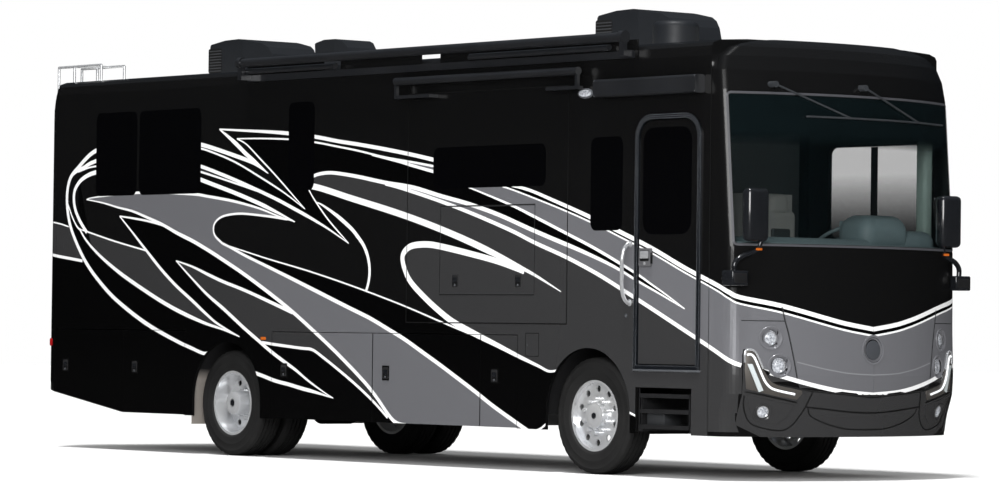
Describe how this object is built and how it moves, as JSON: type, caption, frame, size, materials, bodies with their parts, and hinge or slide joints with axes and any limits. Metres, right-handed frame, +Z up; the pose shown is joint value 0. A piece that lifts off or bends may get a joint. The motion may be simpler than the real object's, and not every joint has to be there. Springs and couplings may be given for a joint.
{
  "type": "motorhome",
  "caption": "Bus-style motorhome with a slide-out room, roll-out awnings, luggage bays, an entry door with a sliding step, roof units and a rear ladder, on steered front and twin rear wheels.",
  "frame": {"origin": "on the road under the middle of the coach", "axes": "+X runs forward to the windscreen, +Y to the left side, +Z up"},
  "size_m": [10.4348, 2.804, 3.978],
  "materials": {
    "body_black": "gloss",
    "body_grey": "gloss",
    "trim_black": "satin",
    "window_black": "gloss",
    "screen_glass": "gloss",
    "lamp_clear": "gloss",
    "lamp_red": "gloss",
    "aluminium": "polished",
    "chrome": "polished",
    "tyre": "matte",
    "chassis": "satin",
    "iron": "matte",
    "floor_board": "matte",
    "step_black": "satin",
    "steel_sheet": "satin",
    "roof_white": "satin",
    "unit_dark": "satin",
    "awning_dark": "satin",
    "cab_plastic": "matte",
    "seat_leather": "satin"
  },
  "bodies": {
    "coach": {"front_cap": "body_grey", "front_lamps": "lamp_clear", "front_bumper": "body_grey", "windscreen": "screen_glass", "rear_cap": "body_black", "rear_lamps": "lamp_red", "side_wall_right": "body_black", "side_wall_left": "body_black", "side_windows": "window_black", "roof": "roof_white", "skirt_right": "body_grey", "skirt_left": "body_grey", "luggage_bays": "steel_sheet", "floor_deck": "floor_board", "step_well": "step_black", "door_frame": "body_grey", "awnings": "awning_dark", "grab_handle": "chrome", "roof_units": "unit_dark", "ladder": "aluminium", "mirrors": "unit_dark", "wipers": "trim_black", "dashboard": "cab_plastic", "steering_wheel": "cab_plastic", "cab_seats": "seat_leather", "chassis_frame": "chassis", "tow_receiver": "chassis", "engine": "iron", "wheelhouses": "trim_black", "front_axle": "iron", "rear_axle": "iron"},
    "entry_door": {"entry_door": "body_black", "entry_door_window": "window_black"},
    "entry_step": {"entry_step": "step_black"},
    "slide_out": {"slide_out": "body_black", "slide_out_window": "window_black", "slide_topper": "awning_dark"},
    "engine_door": {"engine_door": "body_black"},
    "bay_door_right_1": {"bay_door_right_1": "body_grey"},
    "bay_door_right_2": {"bay_door_right_2": "body_grey"},
    "bay_door_right_3": {"bay_door_right_3": "body_grey"},
    "bay_door_right_4": {"bay_door_right_4": "body_grey"},
    "bay_door_right_5": {"bay_door_right_5": "body_grey"},
    "bay_door_left_1": {"bay_door_left_1": "body_grey"},
    "bay_door_left_2": {"bay_door_left_2": "body_grey"},
    "bay_door_left_3": {"bay_door_left_3": "body_grey"},
    "knuckle_right": {"knuckle_right": "iron"},
    "wheel_front_right": {"front_tyre_right": "tyre", "front_rim_right": "aluminium"},
    "wheel_rear_right": {"rear_tyre_right": "tyre", "rear_rim_right": "aluminium"},
    "knuckle_left": {"knuckle_left": "iron"},
    "wheel_front_left": {"front_tyre_left": "tyre", "front_rim_left": "aluminium"},
    "wheel_rear_left": {"rear_tyre_left": "tyre", "rear_rim_left": "aluminium"}
  },
  "joints": [
    {"name": "steer_right", "type": "hinge", "parent": "coach", "child": "knuckle_right", "pos_m": [3.1175, -0.93, 0.49], "axis": [0, 0, 1], "range_deg": [-35, 35]},
    {"name": "steer_left", "type": "hinge", "parent": "coach", "child": "knuckle_left", "pos_m": [3.1175, 0.93, 0.49], "axis": [0, 0, 1], "range_deg": [-35, 35]},
    {"name": "front_wheel_right_spin", "type": "hinge", "parent": "knuckle_right", "child": "wheel_front_right", "pos_m": [3.1175, -1.0925, 0.49], "axis": [0, 1, 0], "continuous": true},
    {"name": "front_wheel_left_spin", "type": "hinge", "parent": "knuckle_left", "child": "wheel_front_left", "pos_m": [3.1175, 1.0925, 0.49], "axis": [0, 1, 0], "continuous": true},
    {"name": "rear_wheel_right_spin", "type": "hinge", "parent": "coach", "child": "wheel_rear_right", "pos_m": [-2.0625, -1.0925, 0.49], "axis": [0, 1, 0], "continuous": true},
    {"name": "rear_wheel_left_spin", "type": "hinge", "parent": "coach", "child": "wheel_rear_left", "pos_m": [-2.0625, 1.0925, 0.49], "axis": [0, 1, 0], "continuous": true},
    {"name": "entry_door_hinge", "type": "hinge", "parent": "coach", "child": "entry_door", "pos_m": [4.4635, -1.2965, 1.9], "axis": [0, 0, 1], "range_deg": [0, 90]},
    {"name": "entry_step_slide", "type": "slide", "parent": "coach", "child": "entry_step", "axis": [0, -1, 0], "range_m": [0, 0.3]},
    {"name": "slide_out_run", "type": "slide", "parent": "coach", "child": "slide_out", "axis": [0, -1, 0], "range_m": [0, 0.6]},
    {"name": "bay_door_right_1_hinge", "type": "hinge", "parent": "coach", "child": "bay_door_right_1", "pos_m": [-3.7585, -1.2825, 0.8], "axis": [0, 0, 1], "range_deg": [0, 90]},
    {"name": "bay_door_right_2_hinge", "type": "hinge", "parent": "coach", "child": "bay_door_right_2", "pos_m": [-2.7345, -1.2825, 0.8], "axis": [0, 0, 1], "range_deg": [0, 90]},
    {"name": "bay_door_right_3_hinge", "type": "hinge", "parent": "coach", "child": "bay_door_right_3", "pos_m": [0.1615, -1.2825, 0.8], "axis": [0, 0, 1], "range_deg": [0, 90]},
    {"name": "bay_door_right_4_hinge", "type": "hinge", "parent": "coach", "child": "bay_door_right_4", "pos_m": [1.6865, -1.2825, 0.8], "axis": [0, 0, 1], "range_deg": [0, 90]},
    {"name": "bay_door_right_5_hinge", "type": "hinge", "parent": "coach", "child": "bay_door_right_5", "pos_m": [2.1865, -1.2825, 0.8], "axis": [0, 0, 1], "range_deg": [0, 90]},
    {"name": "bay_door_left_1_hinge", "type": "hinge", "parent": "coach", "child": "bay_door_left_1", "pos_m": [-2.7345, 1.2825, 0.8], "axis": [0, 0, -1], "range_deg": [0, 90]},
    {"name": "bay_door_left_2_hinge", "type": "hinge", "parent": "coach", "child": "bay_door_left_2", "pos_m": [0.1615, 1.2825, 0.8], "axis": [0, 0, -1], "range_deg": [0, 90]},
    {"name": "bay_door_left_3_hinge", "type": "hinge", "parent": "coach", "child": "bay_door_left_3", "pos_m": [2.1865, 1.2825, 0.8], "axis": [0, 0, -1], "range_deg": [0, 90]},
    {"name": "engine_door_hinge", "type": "hinge", "parent": "coach", "child": "engine_door", "pos_m": [-5.1125, 0, 1.304], "axis": [0, 1, 0], "range_deg": [0, 85]}
  ],
  "couplings": [
    {"joint": "steer_left", "follows": "steer_right", "ratio": 1}
  ]
}
